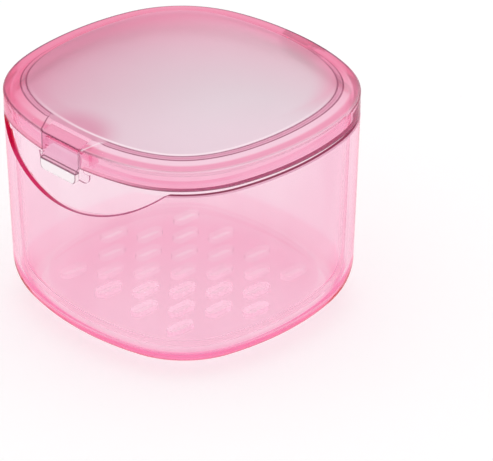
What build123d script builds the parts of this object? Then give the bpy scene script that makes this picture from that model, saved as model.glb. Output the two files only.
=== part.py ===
from build123d import *

import math
import os

# Denture case: an outer cup, a strainer basket that hangs in it by a rim flange, a lid
# hinged on the basket's back edge, and a snap latch flap in the lid's front edge.
#
# Millimetres. +Z is up, -Y is the front with the latch, +Y is the hinge side.
# The origin is the centre of the outer cup's underside.

# ---------------------------------------------------------------- driving dimensions

# Plan outline shared by every moulding: four bowed sides and four tangent corner arcs.
case_width = 95.0
case_depth = 93.0
side_bow_radius = 82.5
corner_radius = 32.2

# Outer cup
cup_height = 59.3
cup_wall = 1.8
cup_floor = 2.0
base_lean = 1.75  # how far the walls lean in between the rim and the base
base_rounding = 13.2
rim_bevel = 0.4
scoop_radius = 48.0  # thumb scoop in the front wall
scoop_depth = 13.3

# Strainer basket
basket_gap = 0.8  # between the cup's wall and the basket's
basket_wall = 1.6
basket_floor = 1.8
basket_standoff = 3.0  # under the basket's floor
basket_rounding = 8.5
flange_thickness = 1.4
flange_setback = 0.15
spigot_height = 1.2  # wall that stands up inside the lid's skirt
slot_length = 9.0
slot_width = 3.8
slot_pitch = 7.5  # rows and columns, every second place left out
slot_margin = 1.0  # solid floor left around the slots

# Lid
lid_seat_gap = 0.1
skirt_height = 5.9
lid_wall = 2.1
lid_top = 1.4
crown_rise = 1.15
crown_run = 4.5  # width of the sloping shoulder around the lid's top
crown_softness = 8.0
lid_rim_bevel = 0.5
lid_inner_bevel = 0.7
panel_inset = 4.9  # foot of the raised panel's sloping edge
panel_step = 0.4  # how far the panel stands above the rest of the lid's top
panel_run = 1.5  # width of the sloping edge
panel_root = 0.5  # depth of the panel's root in the lid's top
tongue_margin = 0.3  # on each side of the latch, where the panel's tongue ends
tongue_flare = 3.6  # how much wider the tongue is on each side where it leaves the panel
tongue_bend = 1.5  # bend between the tongue's sides and the panel's edge

# Latch flap, and the well in the lid that holds it
flap_width = 15.0
flap_thickness = 1.6
flap_face_setback = 0.15
flap_edge_rounding = 0.2
flap_side_gap = 0.25
barrel_radius = 1.5
barrel_gap = 0.25
pivot_setback = 3.3  # pivot line behind the lid's front edge
trunnion_radius = 0.8
running_clearance = 0.06
ear_thickness = 1.6
well_clearance = 0.5  # between the basket and the lid's latch well
well_wall = 1.2
lip_drop = 5.2  # the lip's lower edge below the lid's skirt
flare_start = 0.2  # the joggle towards the lip starts this far below the lid's skirt
lip_slope = 1.6  # height of the joggle between the face and the lip
lip_heel = 0.4  # how much higher the joggle ends on the inside
waist_clearance = 0.35  # between the flap's waist and the basket's flange
waist_rise = 0.5  # waist above the flange
waist_taper = 1.2  # height over which the flap thickens above its waist
lip_inset = 0.3
lip_corner_radius = 2.0
lip_edge_rounding = 0.55

# Catch on the basket
catch_width = 20.6
catch_drop = 3.3  # below the flange
catch_corner_radius = 2.5
catch_setback = 1.5  # catch face behind the case's front line
bead_radius = 0.5
catch_bead_width = 12.0
latch_bead_width = 11.0
catch_bead_height = 0.5  # how far the bead stands out
snap_clearance = 0.1  # between the two beads as they pass
bead_spacing = 1.2
lip_gap = 0.4  # between the lip and the catch bead

# Rear hinge
hinge_setback = 2.0  # pin centre behind the case's back line
hinge_rise = 0.9  # pin centre above the flange
knuckle_radius = 2.0
lid_knuckle_width = 7.4
knuckle_gap = 0.3
basket_knuckle_width = 4.0
pin_radius = 1.0
hinge_relief = 0.3
heel_length = 1.6  # square heel that stops the open lid
heel_height = 1.65
hinge_web_height = 3.6  # lid web above the pin centre

# ---------------------------------------------------------------- worked-out places

front = -case_depth / 2
back = case_depth / 2
flange_top = cup_height + flange_thickness
skirt_bottom = flange_top + lid_seat_gap
rim_top = skirt_bottom + skirt_height
crown_top = rim_top + crown_rise
panel_top = crown_top + panel_step
lean_angle = math.degrees(math.atan2(base_lean, cup_height))
crown_angle = math.degrees(math.atan2(crown_run, crown_rise))
tongue_slope = (crown_rise + panel_step) / crown_run

basket_inset = cup_wall + basket_gap
basket_bottom = cup_floor + basket_standoff
basket_floor_top = basket_bottom + basket_floor
spigot_top = flange_top + spigot_height

well_half = flap_width / 2 + flap_side_gap
ear_half = well_half + ear_thickness
pivot_y = front + pivot_setback
pivot_z = rim_top + tongue_slope * pivot_setback - barrel_radius
well_back = pivot_y + barrel_radius + barrel_gap

catch_face = front + catch_setback
catch_bottom = cup_height - catch_drop
catch_bead_z = catch_bottom + bead_spacing
latch_bead_z = catch_bead_z - bead_spacing
lip_inner = catch_face - catch_bead_height - lip_gap
lip_bottom = skirt_bottom - lip_drop

hinge_y = back + hinge_setback
hinge_z = flange_top + hinge_rise
knuckle_start = lid_knuckle_width / 2 + knuckle_gap
hinge_half = knuckle_start + basket_knuckle_width
spill = 5.0  # how far cutters run past what they cut
cut_depth = front / 2  # how far back the cutters from the front reach
edge_search = 0.02  # how closely an edge is picked by its place


# ---------------------------------------------------------------- shared shapes


def outline(inset, height):
    """The case's plan outline moved inwards by inset, as a face at the given height."""
    bow = side_bow_radius - inset
    corner = corner_radius - inset
    side_x = case_width / 2 - side_bow_radius
    side_y = case_depth / 2 - side_bow_radius
    reach = side_bow_radius - corner_radius
    half_gap = math.hypot(side_x, side_y) / 2
    offset = math.sqrt(reach**2 - half_gap**2)
    corner_x = side_x / 2 - offset * side_y / (2 * half_gap)
    corner_y = side_y / 2 - offset * side_x / (2 * half_gap)
    low = math.degrees(math.atan2(corner_y, corner_x - side_x))
    high = math.degrees(math.atan2(corner_y - side_y, corner_x))
    arcs = []
    for turn, sign in ((0, 1), (180, -1)):
        arcs.append(CenterArc((sign * side_x, 0), bow, turn - low, 2 * low))
        arcs.append(CenterArc((sign * corner_x, sign * corner_y), corner, turn + low, high - low))
        arcs.append(CenterArc((0, sign * side_y), bow, turn + high, 180 - 2 * high))
        arcs.append(
            CenterArc((-sign * corner_x, sign * corner_y), corner, turn + 180 - high, high - low)
        )
    return Pos(0, 0, height) * make_face(arcs)


def leaning_block(inset, top, bottom, rounding):
    """A solid cup shape that leans in as it goes down and has a rounded foot."""
    solid = extrude(outline(inset, top), amount=bottom - top, taper=lean_angle)
    foot = solid.faces().sort_by(Axis.Z)[0]
    return fillet(foot.edges(), rounding)


def block(x_span, y_span, z_span):
    """A plain box between two corners."""
    spans = (x_span, y_span, z_span)
    middle = [(low + high) / 2 for low, high in spans]
    size = [high - low for low, high in spans]
    return Pos(*middle) * Box(*size)


def side_profile(points, half_width):
    """A solid of the given (y, z) outline, centred on x = 0."""
    face = make_face(Polyline(*[(0, y, z) for y, z in points], close=True))
    return extrude(face, amount=half_width, dir=(1, 0, 0), both=True)


def rod(radius, x_start, x_end, y, z):
    """A round bar along X."""
    bar = Cylinder(radius, x_end - x_start, rotation=(0, 90, 0))
    return Pos((x_start + x_end) / 2, y, z) * bar


def long_edges(shape, y, z):
    """The edges along X that pass through the given y and z."""
    return [
        edge
        for edge in shape.edges().filter_by(Axis.X)
        if math.hypot(edge.center().Y - y, edge.center().Z - z) < edge_search
    ]


def level_edges(shape, z):
    """The edges that lie at one height."""
    return shape.edges().filter_by_position(Axis.Z, z - edge_search, z + edge_search)


# ---------------------------------------------------------------- outer cup


def cut_edges(cup, scoop_z):
    """The edges of the scoop, which all lie on its cylinder."""
    found = ShapeList()
    for edge in cup.edges():
        point = edge.center()
        if abs(math.hypot(point.X, point.Z - scoop_z) - scoop_radius) < edge_search:
            found.append(edge)
    return found


def make_outer_cup():
    cup = leaning_block(0, cup_height, 0, base_rounding)
    cup -= leaning_block(cup_wall, cup_height, cup_floor, base_rounding - cup_wall)
    scoop_z = cup_height - scoop_depth + scoop_radius
    scoop = Pos(0, front, scoop_z) * Cylinder(scoop_radius, case_depth, rotation=(90, 0, 0))
    cup -= scoop
    rim = level_edges(cup, cup_height) + cut_edges(cup, scoop_z)
    return chamfer(rim, rim_bevel)


# ---------------------------------------------------------------- strainer basket


def slot_places():
    """Centres of the drain slots: a staggered grid that fills the flat of the floor."""
    lean = base_lean * (spigot_top - basket_floor_top) / cup_height
    inner_rounding = basket_rounding - basket_wall
    floor_inset = basket_inset + basket_wall + lean + inner_rounding + slot_margin
    floor = outline(floor_inset, 0)
    reach = int(case_width / 2 / slot_pitch)
    places = []
    for column in range(-reach, reach + 1):
        for row in range(-reach, reach + 1):
            if (column + row) % 2:
                continue
            x = column * slot_pitch
            y = row * slot_pitch
            corners = [
                Vector(x + dx * slot_width / 2, y + dy * slot_length / 2)
                for dx in (-1, 1)
                for dy in (-1, 1)
            ]
            if all(floor.is_inside(corner) for corner in corners):
                places.append((x, y))
    return places


def drain_slots():
    slot = SlotOverall(slot_length, slot_width, rotation=90)
    sketch = Sketch() + [Pos(x, y) * slot for x, y in slot_places()]
    return Pos(0, 0, basket_bottom - spill) * extrude(sketch, amount=basket_floor + 2 * spill)


def catch_pad():
    """The plate on the basket's front that the latch flap closes over."""
    half = catch_width / 2
    pad_back = front + basket_inset + basket_wall / 2
    pad = block((-half, half), (catch_face, pad_back), (catch_bottom, flange_top))
    low_edges = pad.edges().filter_by(Axis.Y).group_by(Axis.Z)[0]
    pad = fillet(low_edges, catch_corner_radius)
    bead_y = catch_face - catch_bead_height + bead_radius
    pad += rod(bead_radius, -catch_bead_width / 2, catch_bead_width / 2, bead_y, catch_bead_z)
    return pad


def basket_knuckles():
    """The two outer hinge knuckles with their webs and square stop heels."""
    web = side_profile(
        [
            (back - basket_inset, cup_height),
            (back, cup_height),
            (hinge_y, hinge_z - knuckle_radius),
            (hinge_y, flange_top),
            (back - basket_inset, flange_top),
        ],
        hinge_half,
    )
    heel = block(
        (-hinge_half, hinge_half),
        (hinge_y, hinge_y + heel_length),
        (hinge_z, hinge_z + heel_height),
    )
    knuckle = web + rod(knuckle_radius, -hinge_half, hinge_half, hinge_y, hinge_z) + heel
    gap = block(
        (-knuckle_start, knuckle_start),
        (back - spill, hinge_y + spill),
        (hinge_z - spill, hinge_z + spill),
    )
    return knuckle - gap


def make_strainer_basket():
    outer = leaning_block(basket_inset, spigot_top, basket_bottom, basket_rounding)
    inner = leaning_block(
        basket_inset + basket_wall, spigot_top, basket_floor_top, basket_rounding - basket_wall
    )
    flange = extrude(outline(flange_setback, cup_height), amount=flange_thickness)
    basket = outer + flange + basket_knuckles()
    basket += catch_pad()
    basket -= inner
    basket -= drain_slots()
    basket -= block(
        (-ear_half - well_clearance, ear_half + well_clearance),
        (front - spill, cut_depth),
        (flange_top, spigot_top + spill),
    )
    basket -= block(
        (-well_half - well_clearance, well_half + well_clearance),
        (front - spill, catch_face),
        (cup_height, flange_top),
    )
    basket -= rod(knuckle_radius + hinge_relief, -knuckle_start, knuckle_start, hinge_y, hinge_z)
    basket -= rod(pin_radius, -hinge_half, hinge_half, hinge_y, hinge_z)
    return basket


# ---------------------------------------------------------------- lid


def lid_outside():
    """The lid's outer form: straight skirt, sloping shoulder, flat crown."""
    skirt = extrude(outline(0, skirt_bottom), amount=skirt_height)
    crown = extrude(outline(0, rim_top), amount=crown_rise, taper=crown_angle)
    body = skirt + crown
    body = fillet(level_edges(body, crown_top), crown_softness)
    return chamfer(level_edges(body, rim_top), lid_rim_bevel)


def lid_inside():
    """The hollow under the lid, parallel to its outer form."""
    hollow = extrude(outline(lid_wall, skirt_bottom), amount=skirt_height - lid_top)
    ceiling = rim_top - lid_top
    hollow += extrude(outline(lid_wall, ceiling), amount=crown_rise, taper=crown_angle)
    hollow = fillet(level_edges(hollow, ceiling + crown_rise), crown_softness)
    return chamfer(level_edges(hollow, ceiling), lid_inner_bevel)


def panel_plan():
    """The raised panel in plan: parallel to the outline, with a flared tongue out to the latch."""
    narrow = well_half + tongue_margin
    wide = narrow + tongue_flare
    overshoot = narrow - tongue_flare * spill / panel_inset
    left = [
        (-overshoot, front - spill),
        (-wide, front + panel_inset),
        (-wide, cut_depth),
    ]
    right = [(-x, y) for x, y in reversed(left)]
    plan = outline(panel_inset, 0) + make_face(Polyline(*left, *right, close=True))
    return offset(offset(plan, amount=tongue_bend), amount=-tongue_bend)


def make_panel(outside):
    """The panel's slab. Over the shoulder its tongue runs down to nothing at the rim."""
    rise = crown_rise + panel_step
    tongue_angle = math.degrees(math.atan2(crown_run, rise))
    edge_angle = math.degrees(math.atan2(panel_run, panel_step))
    foot = Pos(0, 0, crown_top) * panel_plan()
    slab = extrude(foot, amount=-rise) + extrude(foot, amount=panel_step, taper=edge_angle)
    slab &= extrude(outline(0, rim_top), amount=rise, taper=tongue_angle)
    return slab - Pos(0, 0, -panel_root) * outside


def latch_well(outside):
    """The block in the lid's front edge that the latch flap's ears are cut from."""
    well = block(
        (-ear_half, ear_half),
        (front - spill, well_back + well_wall),
        (skirt_bottom + well_clearance, panel_top + spill),
    )
    return well & outside


def lid_knuckle():
    web = side_profile(
        [
            (back - lid_wall, hinge_z),
            (back - lid_wall, hinge_z + hinge_web_height),
            (back, hinge_z + hinge_web_height),
            (hinge_y, hinge_z + knuckle_radius),
            (hinge_y, hinge_z),
        ],
        lid_knuckle_width / 2,
    )
    half = lid_knuckle_width / 2
    return web + rod(knuckle_radius, -half, half, hinge_y, hinge_z)


def make_lid():
    outside = lid_outside()
    lid = outside - lid_inside()
    lid += latch_well(outside)
    lid += make_panel(outside)
    lid -= block(
        (-well_half, well_half),
        (front - spill, well_back),
        (skirt_bottom - spill, panel_top + spill),
    )
    bore = trunnion_radius + running_clearance
    lid -= rod(bore, -ear_half - spill, ear_half + spill, pivot_y, pivot_z)
    relief = knuckle_radius + hinge_relief
    relief_start = knuckle_start - knuckle_gap
    relief_end = hinge_half + knuckle_gap
    lid -= rod(relief, relief_start, relief_end, hinge_y, hinge_z)
    lid -= rod(relief, -relief_end, -relief_start, hinge_y, hinge_z)
    lid += lid_knuckle()
    half = lid_knuckle_width / 2
    lid -= rod(pin_radius + running_clearance, -half, half, hinge_y, hinge_z)
    return lid


# ---------------------------------------------------------------- latch flap


def flap_front_shape(half, flare_top):
    """The flap seen from the front: a plain face above a narrower lip with round corners."""
    depth = (front - spill, cut_depth)
    face = block((-half, half), depth, (flare_top, panel_top + spill))
    lip = block((-half + lip_inset, half - lip_inset), depth, (lip_bottom, panel_top))
    low_edges = lip.edges().filter_by(Axis.Y).group_by(Axis.Z)[0]
    return face + fillet(low_edges, lip_corner_radius)


def make_latch_flap():
    face_y = front + flap_face_setback
    lip_outer = lip_inner - flap_thickness
    flare_top = skirt_bottom - flare_start
    waist_inner = catch_face - waist_clearance
    waist_z = flange_top + waist_rise
    back_y = face_y + flap_thickness
    face_top = rim_top + tongue_slope * flap_face_setback
    profile = [
        (face_y, face_top),
        (face_y, flare_top),
        (lip_outer, flare_top - lip_slope),
        (lip_outer, lip_bottom),
        (lip_inner, lip_bottom),
        (lip_inner, flare_top - lip_slope + lip_heel),
        (waist_inner, waist_z),
        (back_y, waist_z + waist_taper),
        (back_y, pivot_z - barrel_radius),
        (pivot_y, pivot_z - barrel_radius),
        (pivot_y, pivot_z + barrel_radius),
    ]
    half = flap_width / 2
    flap = side_profile(profile, half)
    lip_edges = long_edges(flap, lip_outer, lip_bottom) + long_edges(flap, lip_inner, lip_bottom)
    flap = fillet(lip_edges, lip_edge_rounding)
    flap = fillet(long_edges(flap, face_y, face_top), flap_edge_rounding)
    flap = fillet(long_edges(flap, lip_outer, flare_top - lip_slope), lip_slope / 2)
    flap &= flap_front_shape(half, flare_top)
    flap += rod(barrel_radius, -half, half, pivot_y, pivot_z)
    bead_y = lip_inner - (bead_radius - (lip_gap - snap_clearance))
    bead_half = latch_bead_width / 2
    flap += rod(bead_radius, -bead_half, bead_half, bead_y, latch_bead_z)
    reach = ear_half - flap_side_gap
    flap += rod(trunnion_radius, -reach, reach, pivot_y, pivot_z)
    return flap


# ---------------------------------------------------------------- hinge pin


def make_hinge_pin():
    return rod(pin_radius, -hinge_half, hinge_half, hinge_y, hinge_z)


# ---------------------------------------------------------------- output

nodes = {
    "outer_cup": make_outer_cup,
    "strainer_basket": make_strainer_basket,
    "lid": make_lid,
    "latch_flap": make_latch_flap,
    "hinge_pin": make_hinge_pin,
}

os.makedirs("parts", exist_ok=True)
for name, make in nodes.items():
    export_step(make(), f"parts/{name}.step")
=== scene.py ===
import math
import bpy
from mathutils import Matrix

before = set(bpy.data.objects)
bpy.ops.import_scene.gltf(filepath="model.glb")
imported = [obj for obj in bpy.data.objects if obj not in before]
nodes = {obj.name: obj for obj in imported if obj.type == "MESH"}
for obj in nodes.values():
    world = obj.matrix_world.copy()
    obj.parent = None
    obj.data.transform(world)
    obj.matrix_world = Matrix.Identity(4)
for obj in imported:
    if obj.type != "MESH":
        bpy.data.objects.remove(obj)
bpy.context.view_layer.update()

from types import SimpleNamespace

import bpy
from mathutils import Vector

MM = 0.001

# ---------------------------------------------------------------- places on the case

SCOOP_RADIUS = 48.0 * MM
SCOOP_AXIS_HEIGHT = 94.0 * MM
SCOOP_REACH = 0.3 * MM  # how far the scoop's bevels lie from its cylinder
CUP_RIM_BOTTOM = 58.8 * MM
HEEL_TOP = 12.0 * MM
FLOOR_SPAN = (4.9 * MM, 6.9 * MM)  # heights that take in both faces of the basket's floor
SLOT_REACH = 36.0 * MM  # the floor's slots lie within this distance of the middle
PLATE_FACE = -45.0 * MM  # the catch plate's front
PLATE_DEPTH = 2.0 * MM
PLATE_SPAN = (55.8 * MM, 60.6 * MM)
PLATE_HALF = 10.5 * MM
SKIRT_BOTTOM = 60.8 * MM
RIM_TOP = 66.7 * MM
TOP_SPAN = (RIM_TOP - 0.6 * MM, RIM_TOP + 0.1 * MM)  # where the skirt rounds into the top
PANEL_TOP = 68.25 * MM
PIVOT_Y = -43.2 * MM
PIVOT_Z = 66.34 * MM
PIVOT_REACH = 1.0 * MM
FLAP_HALF = 7.6 * MM
FLAP_FACE = -46.35 * MM
WELL_HALF = 8.0 * MM
LIP_TOP = 59.2 * MM
TONGUE_FRONT = (8.1 * MM, -46.5 * MM)  # the tongue's side, from the lid's edge to the panel
TONGUE_BACK = (11.4 * MM, -39.6 * MM)
SAME = 0.02 * MM

# The plan outline's side arcs, for the distance from the lid's edge.
SIDE_RADIUS = 82.5 * MM
SIDE_CENTRE_X = 35.0 * MM
SIDE_CENTRE_Y = 36.0 * MM
CORNER_BLEND = 15.0 * MM

# Limits for one axis of a face's normal, which is 1 where the face lies square to that axis.
SQUARE_ON = 0.99
FACING = 0.9
TURNED = 0.5
ASIDE = 0.3
OVERHANG = -0.05

# ---------------------------------------------------------------- the view

AZIMUTH = math.radians(46.867)
ELEVATION = math.radians(29.361)
DISTANCE = 1171.9 * MM
LENS = 298.0
SENSOR = 36.0
CLIP_END = 10.0
LOOK_HEIGHT = 33.3 * MM
AIM_RIGHT = 18.2 * MM
AIM_DOWN = 12.1 * MM


def make_camera():
    toward = Vector(
        (
            math.sin(AZIMUTH) * math.cos(ELEVATION),
            -math.cos(AZIMUTH) * math.cos(ELEVATION),
            math.sin(ELEVATION),
        )
    )
    right = Vector((math.cos(AZIMUTH), math.sin(AZIMUTH), 0))
    up = toward.cross(right)
    middle = Vector((0, 0, LOOK_HEIGHT))
    place = middle + toward * DISTANCE
    aim = middle + right * AIM_RIGHT - up * AIM_DOWN
    data = bpy.data.cameras.new("camera")
    data.lens = LENS
    data.sensor_width = SENSOR
    data.clip_end = CLIP_END
    camera = bpy.data.objects.new("camera", data)
    camera.location = place
    camera.rotation_mode = "QUATERNION"
    camera.rotation_quaternion = (aim - place).to_track_quat("-Z", "Y")
    bpy.context.collection.objects.link(camera)
    bpy.context.scene.camera = camera


make_camera()

# ---------------------------------------------------------------- marks on the meshes


def mark(node, name, test):
    """Writes 1 on the faces that pass the test and 0 on the rest, for a material to read."""
    mesh = nodes[node].data
    layer = mesh.attributes.new(name, "FLOAT", "FACE")
    for polygon in mesh.polygons:
        layer.data[polygon.index].value = 1.0 if test(polygon.center, polygon.normal) else 0.0


def on_scoop_edge(centre, normal):
    from_axis = math.hypot(centre.x, centre.z - SCOOP_AXIS_HEIGHT)
    near = abs(from_axis - SCOOP_RADIUS) < SCOOP_REACH
    return centre.y < 0 and near and abs(normal.y) < FACING


def on_cup_rim(centre, normal):
    return centre.z > CUP_RIM_BOTTOM


def on_heel(centre, normal):
    """The outside of the cup's rounding at the base."""
    outward = centre.x * normal.x + centre.y * normal.y > 0
    return centre.z < HEEL_TOP and abs(normal.z) < FACING and outward


def on_base(centre, normal):
    return centre.z < FLOOR_SPAN[0] and abs(normal.z) > FACING


def on_stub(centre, normal):
    """The flap's stub pins, which turn inside the lid."""
    return abs(centre.x) > FLAP_HALF


def on_bore(centre, normal):
    """The lid's bores for the stub pins."""
    from_pivot = math.hypot(centre.y - PIVOT_Y, centre.z - PIVOT_Z)
    inside = centre.z < PIVOT_Z or normal.z < ASIDE
    return abs(centre.x) > FLAP_HALF and from_pivot < PIVOT_REACH and inside


def on_well(centre, normal):
    """The upright walls around the latch flap."""
    return abs(centre.x) < WELL_HALF and centre.y < 0 and normal.z < ASIDE


def on_crown(centre, normal):
    """The lid's top, with its edge."""
    hidden = on_bore(centre, normal) or on_well(centre, normal)
    return centre.z > TOP_SPAN[0] and normal.z > OVERHANG and not hidden


def on_flap_top(centre, normal):
    return centre.z > TOP_SPAN[0] and normal.z > ASIDE and not on_stub(centre, normal)


def on_basket_floor(centre, normal):
    return FLOOR_SPAN[0] < centre.z < FLOOR_SPAN[1] and abs(normal.z) > SQUARE_ON


def on_slot(centre, normal):
    """The walls of the drain slots."""
    within = abs(centre.x) < SLOT_REACH and abs(centre.y) < SLOT_REACH
    return FLOOR_SPAN[0] < centre.z < FLOOR_SPAN[1] and abs(normal.z) < TURNED and within


def on_plate_edge(centre, normal):
    """The sides and underside of the catch plate."""
    beside = abs(centre.x) < PLATE_HALF and centre.y < PLATE_FACE + PLATE_DEPTH
    return beside and PLATE_SPAN[0] < centre.z < PLATE_SPAN[1] and abs(normal.y) < ASIDE


def on_panel(centre, normal):
    return abs(centre.z - PANEL_TOP) < SAME and normal.z > SQUARE_ON


def on_hem(centre, normal):
    """The skirt's lower end."""
    return abs(centre.z - SKIRT_BOTTOM) < SAME and normal.z < -SQUARE_ON


def on_lip(centre, normal):
    return centre.z < LIP_TOP


MARKS = {
    "outer_cup": {"edge": on_scoop_edge, "rim": on_cup_rim, "heel": on_heel, "base": on_base},
    "strainer_basket": {"floor": on_basket_floor, "slot": on_slot, "plate": on_plate_edge},
    "lid": {"crown": on_crown, "hidden": on_bore, "frosting_and_painted_sheen": on_panel, "hem": on_hem},
    "latch_flap": {"crown": on_flap_top, "hidden": on_stub, "frosting_and_painted_sheen": on_lip},
}

for marked_node, tests in MARKS.items():
    for mark_name, face_test in tests.items():
        mark(marked_node, mark_name, face_test)

# ---------------------------------------------------------------- helpers for materials

WHITE = (1.0, 1.0, 1.0)
DYE = (0.99, 0.385, 0.62)
PINK_SHADOW = (1.0, 0.93, 0.96)
PALE_SHADOW = (1.0, 0.97, 0.98)
CLARITY = "Transmission Weight"
ROUGHNESS = "Roughness"
FINE_DETAIL = 3.0
EDGE_SAMPLES = 4
EDGE_SPAN = (0.92, 0.6)  # how open the inside looks where the edge shade begins and is full


def opaque(colour):
    return (*colour, 1.0)


def new_material(name):
    material = bpy.data.materials.new(name)
    material.use_nodes = True
    tree = material.node_tree
    tree.nodes.clear()
    return material, tree


def add(tree, kind, **values):
    """Adds a node and sets its inputs by name."""
    node = tree.nodes.new(kind)
    for key, value in values.items():
        node.inputs[key.replace("_", " ")].default_value = value
    return node


def clear_plastic(name, density, roughness, ior, tint, shadow=PINK_SHADOW):
    """Dyed clear plastic: the colour comes from the thickness that light crosses."""
    material, tree = new_material(name)
    body = add(
        tree,
        "ShaderNodeBsdfPrincipled",
        Base_Color=opaque(tint),
        Roughness=roughness,
        IOR=ior,
        Transmission_Weight=1.0,
    )
    through = add(tree, "ShaderNodeBsdfTransparent", Color=opaque(shadow))
    dye = add(tree, "ShaderNodeVolumeAbsorption", Color=opaque(DYE), Density=density)
    path = tree.nodes.new("ShaderNodeLightPath")
    mix = tree.nodes.new("ShaderNodeMixShader")
    output = tree.nodes.new("ShaderNodeOutputMaterial")
    tree.links.new(path.outputs["Is Shadow Ray"], mix.inputs[0])
    tree.links.new(body.outputs[0], mix.inputs[1])
    tree.links.new(through.outputs[0], mix.inputs[2])
    tree.links.new(mix.outputs[0], output.inputs["Surface"])
    tree.links.new(dye.outputs[0], output.inputs["Volume"])
    return material, tree, body


def read_mark(tree, name):
    node = tree.nodes.new("ShaderNodeAttribute")
    node.attribute_name = name
    return node.outputs["Fac"]


def is_socket(value):
    return isinstance(value, bpy.types.NodeSocket)


def calculate(operation, *values):
    """A math node on sockets and plain numbers, in the tree of the first socket."""
    tree = next(filter(is_socket, values)).id_data
    node = tree.nodes.new("ShaderNodeMath")
    node.operation = operation
    for socket, value in zip(node.inputs, values):
        if is_socket(value):
            tree.links.new(value, socket)
        else:
            socket.default_value = value
    return node.outputs[0]


def product(first, *others):
    """The product of several shares: 1 where all of them are 1."""
    result = first
    for share in others:
        result = calculate("MULTIPLY", result, share)
    return result


def slant(value, start, end, low, high, easing="LINEAR"):
    """Runs from low to high while the value goes from start to end, and stops there."""
    tree = value.id_data
    node = add(tree, "ShaderNodeMapRange", From_Min=start, From_Max=end, To_Min=low, To_Max=high)
    node.interpolation_type = easing
    tree.links.new(value, node.inputs["Value"])
    return node.outputs["Result"]


def ramp(value, start, end, low=0.0, high=1.0):
    """A slant that is eased at both ends. Start may lie above end."""
    return slant(value, start, end, low, high, "SMOOTHSTEP")


def band(value, middle, half_width):
    """1 where the value is at the middle, fading to 0 at half_width on each side."""
    away = calculate("ABSOLUTE", calculate("SUBTRACT", value, middle))
    return ramp(away, 0.0, half_width, low=1.0, high=0.0)


def set_value(body, name, share, high):
    """Moves a shader's number from what it has to high, by a share between 0 and 1."""
    tree = body.id_data
    socket = body.inputs[name]
    node = add(tree, "ShaderNodeMapRange", To_Min=socket.default_value, To_Max=high)
    tree.links.new(share, node.inputs["Value"])
    if socket.is_linked:
        tree.links.new(socket.links[0].from_socket, node.inputs["To Min"])
    tree.links.new(node.outputs["Result"], socket)


def paint(body, share, colour, blend="MIX"):
    """Lays a colour over what the shader already has, by a share between 0 and 1."""
    tree = body.id_data
    socket = body.inputs["Base Color"]
    node = tree.nodes.new("ShaderNodeMixRGB")
    node.blend_type = blend
    node.inputs["Color1"].default_value = socket.default_value
    if socket.is_linked:
        tree.links.new(socket.links[0].from_socket, node.inputs["Color1"])
    node.inputs["Color2"].default_value = opaque(colour)
    tree.links.new(share, node.inputs["Fac"])
    tree.links.new(node.outputs["Color"], socket)


def edge_shade(tree, reach):
    """1 near a piece's sharp outer edges and 0 elsewhere, and 0 on the faces marked hidden."""
    inward = add(tree, "ShaderNodeAmbientOcclusion", Distance=reach)
    inward.inside = True
    inward.only_local = True
    inward.samples = EDGE_SAMPLES
    shade = ramp(inward.outputs["AO"], *EDGE_SPAN)
    return product(shade, calculate("SUBTRACT", 1.0, read_mark(tree, "hidden")))


def case_place(tree):
    """The surface point's x, y and z in the closed case. They stay with a piece that moves."""
    place = tree.nodes.new("ShaderNodeTexCoord")
    parts = tree.nodes.new("ShaderNodeSeparateXYZ")
    tree.links.new(place.outputs["Object"], parts.inputs[0])
    return parts.outputs["X"], parts.outputs["Y"], parts.outputs["Z"]


def cloud(tree, size, stretch=1.0, detail=2.0):
    """Noise between 0 and 1 with patches of the given size, longer upward by stretch."""
    place = tree.nodes.new("ShaderNodeTexCoord")
    scale = add(tree, "ShaderNodeMapping", Scale=(1 / size, 1 / size, 1 / (size * stretch)))
    tree.links.new(place.outputs["Object"], scale.inputs["Vector"])
    noise = add(tree, "ShaderNodeTexNoise", Scale=1.0, Detail=detail)
    tree.links.new(scale.outputs[0], noise.inputs["Vector"])
    return noise.outputs["Fac"]


def set_grain(body, height, strength, depth):
    """Raises the shading by a height between 0 and 1, where 1 is depth metres."""
    tree = body.id_data
    bump = add(tree, "ShaderNodeBump", Distance=depth)
    tree.links.new(height, bump.inputs["Height"])
    tree.links.new(strength, bump.inputs["Strength"])
    tree.links.new(bump.outputs[0], body.inputs["Normal"])


def plan_length(x, y):
    squares = [calculate("MULTIPLY", value, value) for value in (x, y)]
    return calculate("SQRT", calculate("ADD", *squares))


def plan_inset(x, y):
    """Distance in from the case's plan outline: from the nearest side arc, eased at the corners."""
    past_x = calculate("ADD", calculate("ABSOLUTE", x), SIDE_CENTRE_X)
    past_y = calculate("ADD", calculate("ABSOLUTE", y), SIDE_CENTRE_Y)
    far_x = plan_length(past_x, y)
    far_y = plan_length(x, past_y)
    far = calculate("SMOOTH_MAX", far_x, far_y, CORNER_BLEND)
    return calculate("SUBTRACT", SIDE_RADIUS, far)


def dress(node, material):
    mesh = nodes[node].data
    mesh.materials.clear()
    mesh.materials.append(material)
    for polygon in mesh.polygons:
        polygon.material_index = 0


# ---------------------------------------------------------------- the cup
#
# In all the materials below, a FADE is the pair of values at which a share is 0 and 1, and a
# LINE is the middle and the half width of a drawn line. A DIAGONAL is a fade of x - y, which
# grows toward the front right corner, the nearest one to the camera.

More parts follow.
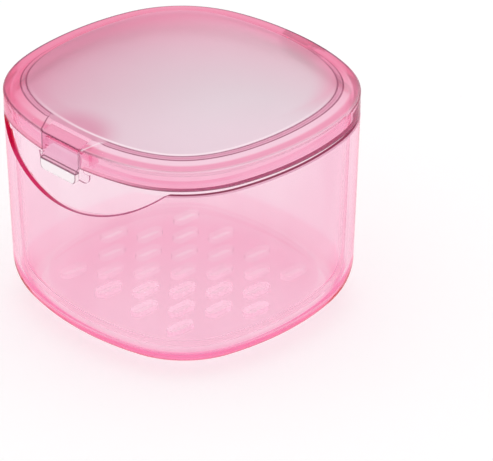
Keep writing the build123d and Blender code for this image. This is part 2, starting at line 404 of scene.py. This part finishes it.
FLOW_SIZE = 22.0 * MM
FLOW_STRETCH = 3.0
FLOW_FADE = (0.4, 0.62)
FLOW_TINT = (0.985, 0.94, 0.96)
HEEL_DIAGONAL = (-25.0 * MM, 15.0 * MM)
HEEL_BACK_SHARE = 0.2
HEEL_FADE = (11.0 * MM, 7.5 * MM)
HEEL_PINK = (0.97, 0.68, 0.82)
LOW_HEEL_FADE = (8.6 * MM, 6.6 * MM)
LOW_HEEL_END_FADE = (1.8 * MM, 3.4 * MM)
LOW_HEEL_PINK = (0.97, 0.22, 0.48)
BASE_TINT = (0.99, 1.0, 1.0)
CUP_RIM_ROSE = (0.84, 0.48, 0.62)
CUP_RIM_CLARITY = 0.15
SCOOP_RIGHT_FADE = (-12.0 * MM, 8.0 * MM)
SCOOP_THINNING = 0.8 * MM
SCOOP_DEPTH_FADE = (1.7 * MM, 1.3 * MM)
SCOOP_CRIMSON = (0.55, 0.012, 0.08)
SCOOP_PLUM = (0.40, 0.10, 0.20)
SCOOP_CLARITY = 0.35
SCOOP_ROUGHNESS = 0.2


def make_cup_plastic():
    material, tree, body = clear_plastic(
        "pink_clear", density=60.0, roughness=0.03, ior=1.05, tint=(0.99, 0.967, 0.98)
    )
    x, y, z = case_place(tree)
    flow = ramp(cloud(tree, FLOW_SIZE, FLOW_STRETCH), *FLOW_FADE)
    paint(body, flow, FLOW_TINT, "MULTIPLY")
    diagonal = calculate("SUBTRACT", x, y)
    # Painted shade: the heel is painted deeper pink, as light crossing the rounding edge on makes
    # it look, most toward the front right corner, with a deeper line low down.
    heel = product(read_mark(tree, "heel"), ramp(diagonal, *HEEL_DIAGONAL, low=HEEL_BACK_SHARE))
    paint(body, product(heel, ramp(z, *HEEL_FADE)), HEEL_PINK)
    low_heel = product(heel, ramp(z, *LOW_HEEL_FADE), ramp(z, *LOW_HEEL_END_FADE))
    paint(body, low_heel, LOW_HEEL_PINK)
    paint(body, read_mark(tree, "base"), BASE_TINT)
    # Painted shade: the rim is painted a darker rose and made less clear, for the dark line along
    # its edge.
    rim = read_mark(tree, "rim")
    paint(body, rim, CUP_RIM_ROSE)
    set_value(body, CLARITY, rim, CUP_RIM_CLARITY)

    # Painted shade: the scoop's cut face is painted crimson near the outside of the wall, as the
    # dark edge of the clear wall. To the right, the crimson gets narrower and turns to plum.
    rightward = ramp(x, *SCOOP_RIGHT_FADE)
    thinning = calculate("MULTIPLY", rightward, SCOOP_THINNING)
    depth = calculate("ADD", plan_inset(x, y), thinning)
    edge = product(read_mark(tree, "edge"), ramp(depth, *SCOOP_DEPTH_FADE))
    paint(body, edge, SCOOP_CRIMSON)
    paint(body, product(edge, rightward), SCOOP_PLUM)
    set_value(body, CLARITY, edge, SCOOP_CLARITY)
    set_value(body, ROUGHNESS, edge, SCOOP_ROUGHNESS)
    return material


# ---------------------------------------------------------------- the basket

UPPER_FADE = (60.5 * MM, 60.9 * MM)
UPPER_TINT = (0.97, 0.82, 0.89)
FLOOR_TINT = (0.988, 0.95, 0.97)
FLOOR_BACK_FADE = (-30.0 * MM, 40.0 * MM)  # of y - x
FLOOR_BACK_TINT = (0.975, 0.82, 0.89)
SLOT_DIAGONAL = (-10.0 * MM, 30.0 * MM)
SLOT_WHITE = (1.0, 0.98, 0.99)
SLOT_CLARITY = 0.35
PLATE_LINE = (PLATE_FACE + 0.2 * MM, 0.6 * MM)
PLATE_DARK = (0.35, 0.10, 0.20)
PLATE_CLARITY = 0.5
BASKET_PATCH = 6.0 * MM
BASKET_PATCH_ROUGHNESS = 0.22


def make_basket_plastic():
    material, tree, body = clear_plastic(
        "pink_basket",
        density=15.0,
        roughness=0.15,
        ior=1.02,
        tint=(0.991, 0.972, 0.982),
        shadow=PALE_SHADOW,
    )
    x, y, z = case_place(tree)
    paint(body, ramp(z, *UPPER_FADE), UPPER_TINT)
    floor = read_mark(tree, "floor")
    paint(body, floor, FLOOR_TINT)
    backward = ramp(calculate("SUBTRACT", y, x), *FLOOR_BACK_FADE)
    paint(body, product(floor, backward), FLOOR_BACK_TINT)
    # Painted light: the slot walls are painted white and made less clear toward the front, where
    # light shows through the slots.
    near = ramp(calculate("SUBTRACT", x, y), *SLOT_DIAGONAL)
    slot = product(read_mark(tree, "slot"), near)
    paint(body, slot, SLOT_WHITE)
    set_value(body, CLARITY, slot, SLOT_CLARITY)
    # Painted shade: a dark line along the front of the catch plate's sides and underside.
    plate = product(read_mark(tree, "plate"), band(y, *PLATE_LINE))
    paint(body, plate, PLATE_DARK)
    set_value(body, CLARITY, plate, PLATE_CLARITY)
    set_value(body, ROUGHNESS, cloud(tree, BASKET_PATCH), BASKET_PATCH_ROUGHNESS)
    return material


# ---------------------------------------------------------------- the lid

TOP_CLARITY = 0.4
# The share of painted light, growing toward the front right corner.
LIT_DIAGONAL = (0.0, 60.0 * MM)
# Painted shade: the dark colour laid on sharp edges, where clear plastic looks dark.
PAINTED_EDGE_SHADE = (0.15, 0.03, 0.08)
PAINTED_EDGE_SHADE_CLARITY = 0.4

# Painted shade deepens the lid toward the left and along the shoulder; a painted highlight pales it
# at the front and right.
LEFT_FADE = (-15.0 * MM, -44.0 * MM)
LEFT_ROSE = (0.93, 0.50, 0.64)
RING_RED = (0.86, 0.25, 0.40)
RING_PALE = (0.93, 0.70, 0.80)
RIGHT_FADE = (20.0 * MM, 44.0 * MM)
RIGHT_SHARE = 0.8
SHOULDER_LINE = (1.7 * MM, 1.5 * MM)
SHOULDER_RED = (0.86, 0.21, 0.36)
SHOULDER_ROSE = (0.86, 0.38, 0.53)

HEM_ROSE = (0.7, 0.35, 0.46)
HEM_RIGHT_FADE = (-5.0 * MM, 30.0 * MM)
HEM_DARK = (0.32, 0.08, 0.16)
HEM_INNER_FADE = (0.5 * MM, 0.9 * MM)
HEM_LEFT_FADE = (38.0 * MM, 12.0 * MM)
HEM_PALE = (0.96, 0.80, 0.88)
HEM_CLARITY = 0.5

WELL_FRONT_FADE = (-46.2 * MM, -45.2 * MM)
WELL_BACK_FADE = (-36.0 * MM, -38.0 * MM)
WELL_SIDE_FADE = (17.0 * MM, 15.2 * MM)
LID_EDGE_REACH = 0.45 * MM
OUTLINE_LINE = (0.3 * MM, 0.5 * MM)
OUTLINE_FADE = (30.0 * MM, 5.0 * MM)
OUTLINE_DARK = (0.30, 0.09, 0.16)
BACK_DIAGONAL = (5.0 * MM, -30.0 * MM)
BACK_LINE = (0.8 * MM, 0.7 * MM)
BACK_DARK = (0.20, 0.07, 0.12)
BACK_CLARITY = 0.3

PANEL_ROSE = (0.66, 0.33, 0.44)
PANEL_BACK_FADE = (-5.0 * MM, 30.0 * MM)
PANEL_BACK_ROSE = (0.78, 0.36, 0.49)
PANEL_CLARITY = 0.35
PANEL_ROUGHNESS = 0.5
# These shape the share of frost on the panel, which also lays on its painted light.
FROST_AND_LIGHT_MIDDLE_X = 28.0 * MM
FROST_AND_LIGHT_SPREAD = (10.0 * MM, 65.0 * MM)
FROST_AND_LIGHT_CURVE = 0.7
FROST_AND_LIGHT_INSET_FADE = (5.0 * MM, 14.0 * MM)
FROST_AND_LIGHT_DIAGONAL = (-10.0 * MM, 35.0 * MM)
LATCH_AHEAD = 45.0 * MM  # from the case's middle
FROST_AND_LIGHT_LATCH_FADE = (8.0 * MM, 18.0 * MM)
FROST_GREY = (0.70, 0.69, 0.71)
FROST_LIT = (0.79, 0.72, 0.77)
GRAIN_SIZE = 0.5 * MM
GRAIN_ROUGHNESS = 0.65
GRAIN_STRENGTH = 0.6
GRAIN_DEPTH = 0.03 * MM

TONGUE_LINE = (0.0, 0.45 * MM)
TONGUE_END_FADE = (TONGUE_BACK[1] + 0.3 * MM, TONGUE_BACK[1] - 0.3 * MM)
TONGUE_SIDE_FADE = (0.0, 6.0 * MM)
TONGUE_DARK = (0.25, 0.07, 0.13)
TONGUE_PALE = (0.98, 0.90, 0.94)
PANEL_RIM_DIAGONAL = (-35.0 * MM, -5.0 * MM)
PANEL_RIM_SIDE_FADE = (9.5 * MM, 12.0 * MM)  # keeps the rim's lines clear of the latch
SLOPE_LINE = (5.65 * MM, 1.0 * MM)
SLOPE_ROSE = (0.66, 0.30, 0.42)
MARGIN_LINE = (7.2 * MM, 0.8 * MM)
MARGIN_PALE = (0.98, 0.93, 0.96)
FOOT_LINE = (4.9 * MM, 0.4 * MM)
BROW_LINE = (6.4 * MM, 0.45 * MM)
PANEL_RIM_DARK = (0.3, 0.1, 0.17)


def frost_and_light_share(at):
    """The share of frost and of painted light: full right of the panel's middle, less to the left,
    back and latch. The frost is real; its fall-off stands in for how the light falls.
    """
    from_heart = plan_length(calculate("SUBTRACT", at.x, FROST_AND_LIGHT_MIDDLE_X), at.y)
    spread = calculate("POWER", slant(from_heart, *FROST_AND_LIGHT_SPREAD, low=1.0, high=0.0), FROST_AND_LIGHT_CURVE)
    inner = ramp(at.inset, *FROST_AND_LIGHT_INSET_FADE)
    right_front = ramp(at.diagonal, *FROST_AND_LIGHT_DIAGONAL)
    spread = calculate("MULTIPLY", spread, calculate("MAXIMUM", inner, right_front))
    from_latch = plan_length(at.x, calculate("ADD", at.y, LATCH_AHEAD))
    return product(spread, ramp(from_latch, *FROST_AND_LIGHT_LATCH_FADE))


def paint_ring(body, at):
    """The lid's rim and shoulder: red, with painted shade deeper at the left and along the
    shoulder, and a painted highlight making them pale at the front and right.
    """
    paint(body, ramp(at.x, *LEFT_FADE), LEFT_ROSE)
    set_value(body, CLARITY, at.top, TOP_CLARITY)
    paint(body, at.top, RING_RED)
    paint(body, product(at.top, at.lit), RING_PALE)
    right = ramp(at.x, *RIGHT_FADE, high=RIGHT_SHARE)
    paint(body, product(at.top, right), RING_PALE)
    shoulder = product(at.top, band(at.inset, *SHOULDER_LINE))
    paint(body, shoulder, SHOULDER_RED)
    paint(body, product(shoulder, calculate("MAXIMUM", at.lit, right)), SHOULDER_ROSE)


def paint_hem(body, at):
    # Painted shade on the skirt's hem: rose, and dark toward the right where the gap under the
    # skirt lies in shade, with its inner part painted pale toward the left.
    hem = read_mark(at.tree, "hem")
    paint(body, hem, HEM_ROSE)
    paint(body, product(hem, ramp(at.x, *HEM_RIGHT_FADE)), HEM_DARK)
    inner_hem = product(hem, ramp(at.inset, *HEM_INNER_FADE), ramp(at.x, *HEM_LEFT_FADE))
    paint(body, inner_hem, HEM_PALE)
    set_value(body, CLARITY, hem, HEM_CLARITY)


def paint_lid_edges(body, at):
    """Painted shade: dark lines on the sharp edges, clear of the latch's well, and around the lid's
    top.
    """
    well = product(
        ramp(at.y, *WELL_FRONT_FADE),
        ramp(at.y, *WELL_BACK_FADE),
        ramp(calculate("ABSOLUTE", at.x), *WELL_SIDE_FADE),
    )
    edges = product(edge_shade(at.tree, LID_EDGE_REACH), calculate("SUBTRACT", 1.0, well))
    paint(body, edges, PAINTED_EDGE_SHADE, "MULTIPLY")
    set_value(body, CLARITY, edges, PAINTED_EDGE_SHADE_CLARITY)
    outline = product(at.top, band(at.inset, *OUTLINE_LINE), ramp(at.x, *OUTLINE_FADE))
    paint(body, outline, OUTLINE_DARK)
    crown = read_mark(at.tree, "crown")
    back = product(crown, band(at.inset, *BACK_LINE), ramp(at.diagonal, *BACK_DIAGONAL))
    paint(body, back, BACK_DARK)
    set_value(body, CLARITY, back, BACK_CLARITY)


def paint_panel(body, at):
    """The raised panel, its frost made by a fine grain. Painted shade makes it rosier toward the
    back, and a painted highlight lightens it toward the front right.
    """
    strength = frost_and_light_share(at)
    paint(body, at.panel, PANEL_ROSE)
    paint(body, product(at.panel, ramp(at.y, *PANEL_BACK_FADE)), PANEL_BACK_ROSE)
    frost_and_light = product(at.panel, strength)
    paint(body, frost_and_light, FROST_GREY)
    paint(body, product(frost_and_light, at.lit), FROST_LIT)
    set_value(body, CLARITY, at.panel, PANEL_CLARITY)
    set_value(body, ROUGHNESS, at.panel, PANEL_ROUGHNESS)
    grain = cloud(at.tree, GRAIN_SIZE, detail=FINE_DETAIL)
    set_value(body, ROUGHNESS, product(at.panel, grain), GRAIN_ROUGHNESS)
    set_grain(body, grain, product(frost_and_light, GRAIN_STRENGTH), GRAIN_DEPTH)


def paint_tongue(body, at):
    """The panel's tongue runs out to the flap: its left edge is painted dark as shade and its right
    one pale as a highlight.
    """
    (front_x, front_y), (back_x, back_y) = TONGUE_FRONT, TONGUE_BACK
    side = slant(at.y, front_y, back_y, front_x, back_x)
    past_side = calculate("SUBTRACT", calculate("ABSOLUTE", at.x), side)
    tongue = product(at.top, band(past_side, *TONGUE_LINE), ramp(at.y, *TONGUE_END_FADE))
    middle, aside = TONGUE_SIDE_FADE
    paint(body, product(tongue, ramp(at.x, middle, -aside)), TONGUE_DARK)
    paint(body, product(tongue, ramp(at.x, middle, aside)), TONGUE_PALE)


def paint_panel_rim(body, at):
    """Painted shade on the slope up to the panel, between two painted dark lines, and a painted
    highlight as a pale margin on the panel.
    """
    front = ramp(at.diagonal, *PANEL_RIM_DIAGONAL)
    beside = ramp(calculate("ABSOLUTE", at.x), *PANEL_RIM_SIDE_FADE)
    around = product(front, beside)
    paint(body, product(at.top, around, band(at.inset, *SLOPE_LINE)), SLOPE_ROSE)
    paint(body, product(at.panel, at.lit, band(at.inset, *MARGIN_LINE)), MARGIN_PALE)
    for line in (FOOT_LINE, BROW_LINE):
        paint(body, product(at.top, around, band(at.inset, *line)), PANEL_RIM_DARK)


def make_lid_plastic():
    material, tree, body = clear_plastic(
        "pink_lid", density=80.0, roughness=0.04, ior=1.08, tint=(0.965, 0.71, 0.81)
    )
    x, y, z = case_place(tree)
    diagonal = calculate("SUBTRACT", x, y)
    # Places and shares at the surface point that more than one layer reads.
    at = SimpleNamespace(
        tree=tree,
        x=x,
        y=y,
        inset=plan_inset(x, y),
        diagonal=diagonal,
        top=product(read_mark(tree, "crown"), ramp(z, *TOP_SPAN)),
        panel=read_mark(tree, "frosting_and_painted_sheen"),
        lit=ramp(diagonal, *LIT_DIAGONAL),
    )
    # Each layer is laid over the ones before it, so their order counts.
    for lay in (paint_ring, paint_hem, paint_lid_edges, paint_panel, paint_tongue, paint_panel_rim):
        lay(body, at)
    return material


# ---------------------------------------------------------------- the latch flap

FLAP_TOP_ROSE = (0.90, 0.42, 0.57)
LIP_WHITE = (0.99, 0.98, 0.985)
LIP_CLARITY = 0.25
FLAP_EDGE_REACH = 0.35 * MM
FLAP_FRONT_FADE = (-45.5 * MM, -46.5 * MM)
LIP_LINE = (LIP_TOP, 0.4 * MM)
BRINK_FACE_LINE = (FLAP_FACE, 0.65 * MM)  # the brink is where the flap's face meets its top
BRINK_TOP_LINE = (RIM_TOP + 0.05 * MM, 0.45 * MM)
BRINK_DARK = (0.18, 0.04, 0.09)
FLAP_PATCH = 3.0 * MM
FLAP_PATCH_ROUGHNESS = 0.08


def make_flap_plastic():
    material, tree, body = clear_plastic(
        "pink_flap", density=60.0, roughness=0.04, ior=1.12, tint=(0.87, 0.64, 0.75)
    )
    _, y, z = case_place(tree)
    top = product(read_mark(tree, "crown"), ramp(z, *TOP_SPAN))
    set_value(body, CLARITY, top, TOP_CLARITY)
    paint(body, top, FLAP_TOP_ROSE)
    # Painted highlight: the lip is painted white and made less clear, as where it catches the white
    # surroundings.
    lip = read_mark(tree, "frosting_and_painted_sheen")
    paint(body, lip, LIP_WHITE)
    set_value(body, CLARITY, lip, LIP_CLARITY)
    # Painted shade: dark lines on the flap's front edges and at the height of the lip's top.
    edges = product(edge_shade(tree, FLAP_EDGE_REACH), ramp(y, *FLAP_FRONT_FADE))
    edges = calculate("MAXIMUM", edges, band(z, *LIP_LINE))
    paint(body, edges, PAINTED_EDGE_SHADE, "MULTIPLY")
    set_value(body, CLARITY, edges, PAINTED_EDGE_SHADE_CLARITY)
    # Painted shade: a dark line along the brink.
    brink = product(band(y, *BRINK_FACE_LINE), band(z, *BRINK_TOP_LINE))
    paint(body, brink, BRINK_DARK)
    set_value(body, ROUGHNESS, cloud(tree, FLAP_PATCH), FLAP_PATCH_ROUGHNESS)
    return material


# ---------------------------------------------------------------- the hinge pin

STEEL = (0.72, 0.72, 0.73)
STEEL_ROUGHNESS = 0.3
STREAK_SIZE = 0.12 * MM
STREAK_GREY = (0.60, 0.60, 0.62)
STREAK_ROUGHNESS = 0.45


def make_steel():
    material, tree = new_material("pin_steel")
    body = add(
        tree,
        "ShaderNodeBsdfPrincipled",
        Base_Color=opaque(STEEL),
        Metallic=1.0,
        Roughness=STEEL_ROUGHNESS,
    )
    streaks = cloud(tree, STREAK_SIZE, detail=FINE_DETAIL)
    set_value(body, ROUGHNESS, streaks, STREAK_ROUGHNESS)
    paint(body, streaks, STREAK_GREY)
    output = tree.nodes.new("ShaderNodeOutputMaterial")
    tree.links.new(body.outputs[0], output.inputs["Surface"])
    return material


dress("outer_cup", make_cup_plastic())
dress("strainer_basket", make_basket_plastic())
dress("lid", make_lid_plastic())
dress("latch_flap", make_flap_plastic())
dress("hinge_pin", make_steel())

# ---------------------------------------------------------------- light and stage

WORLD_STRENGTH = 1.0
GROUND_HALF = 3.0
GROUND_DROP = 0.2 * MM
GROUND_GREY = (0.5, 0.5, 0.5)
GROUND_GLOW = 0.52


def make_world():
    world = bpy.data.worlds.new("studio")
    world.use_nodes = True
    tree = world.node_tree
    tree.nodes.clear()
    light = add(tree, "ShaderNodeBackground", Color=opaque(WHITE), Strength=WORLD_STRENGTH)
    output = tree.nodes.new("ShaderNodeOutputWorld")
    tree.links.new(light.outputs[0], output.inputs["Surface"])
    bpy.context.scene.world = world


def make_floor():
    """A white floor that still takes a soft shadow."""
    mesh = bpy.data.meshes.new("floor")
    signs = ((-1, -1), (1, -1), (1, 1), (-1, 1))
    corners = [(GROUND_HALF * side, GROUND_HALF * ahead, 0) for side, ahead in signs]
    mesh.from_pydata(corners, [], [(0, 1, 2, 3)])
    floor = bpy.data.objects.new("floor", mesh)
    bpy.context.collection.objects.link(floor)
    material, tree = new_material("floor")
    matt = add(tree, "ShaderNodeBsdfDiffuse", Color=opaque(GROUND_GREY))
    glow = add(tree, "ShaderNodeEmission", Color=opaque(WHITE), Strength=GROUND_GLOW)
    together = tree.nodes.new("ShaderNodeAddShader")
    output = tree.nodes.new("ShaderNodeOutputMaterial")
    tree.links.new(matt.outputs[0], together.inputs[0])
    tree.links.new(glow.outputs[0], together.inputs[1])
    tree.links.new(together.outputs[0], output.inputs["Surface"])
    mesh.materials.append(material)
    floor.location.z = -GROUND_DROP


make_world()
make_floor()

# Light crosses many walls of nested clear plastic, so it needs many bounces.
BOUNCES = 400
TRANSPARENT_BOUNCES = 48

scene = bpy.context.scene
scene.view_settings.view_transform = "Standard"
scene.cycles.max_bounces = BOUNCES
scene.cycles.transmission_bounces = BOUNCES
scene.cycles.glossy_bounces = BOUNCES
scene.cycles.transparent_max_bounces = TRANSPARENT_BOUNCES
scene.cycles.blur_glossy = 0.0
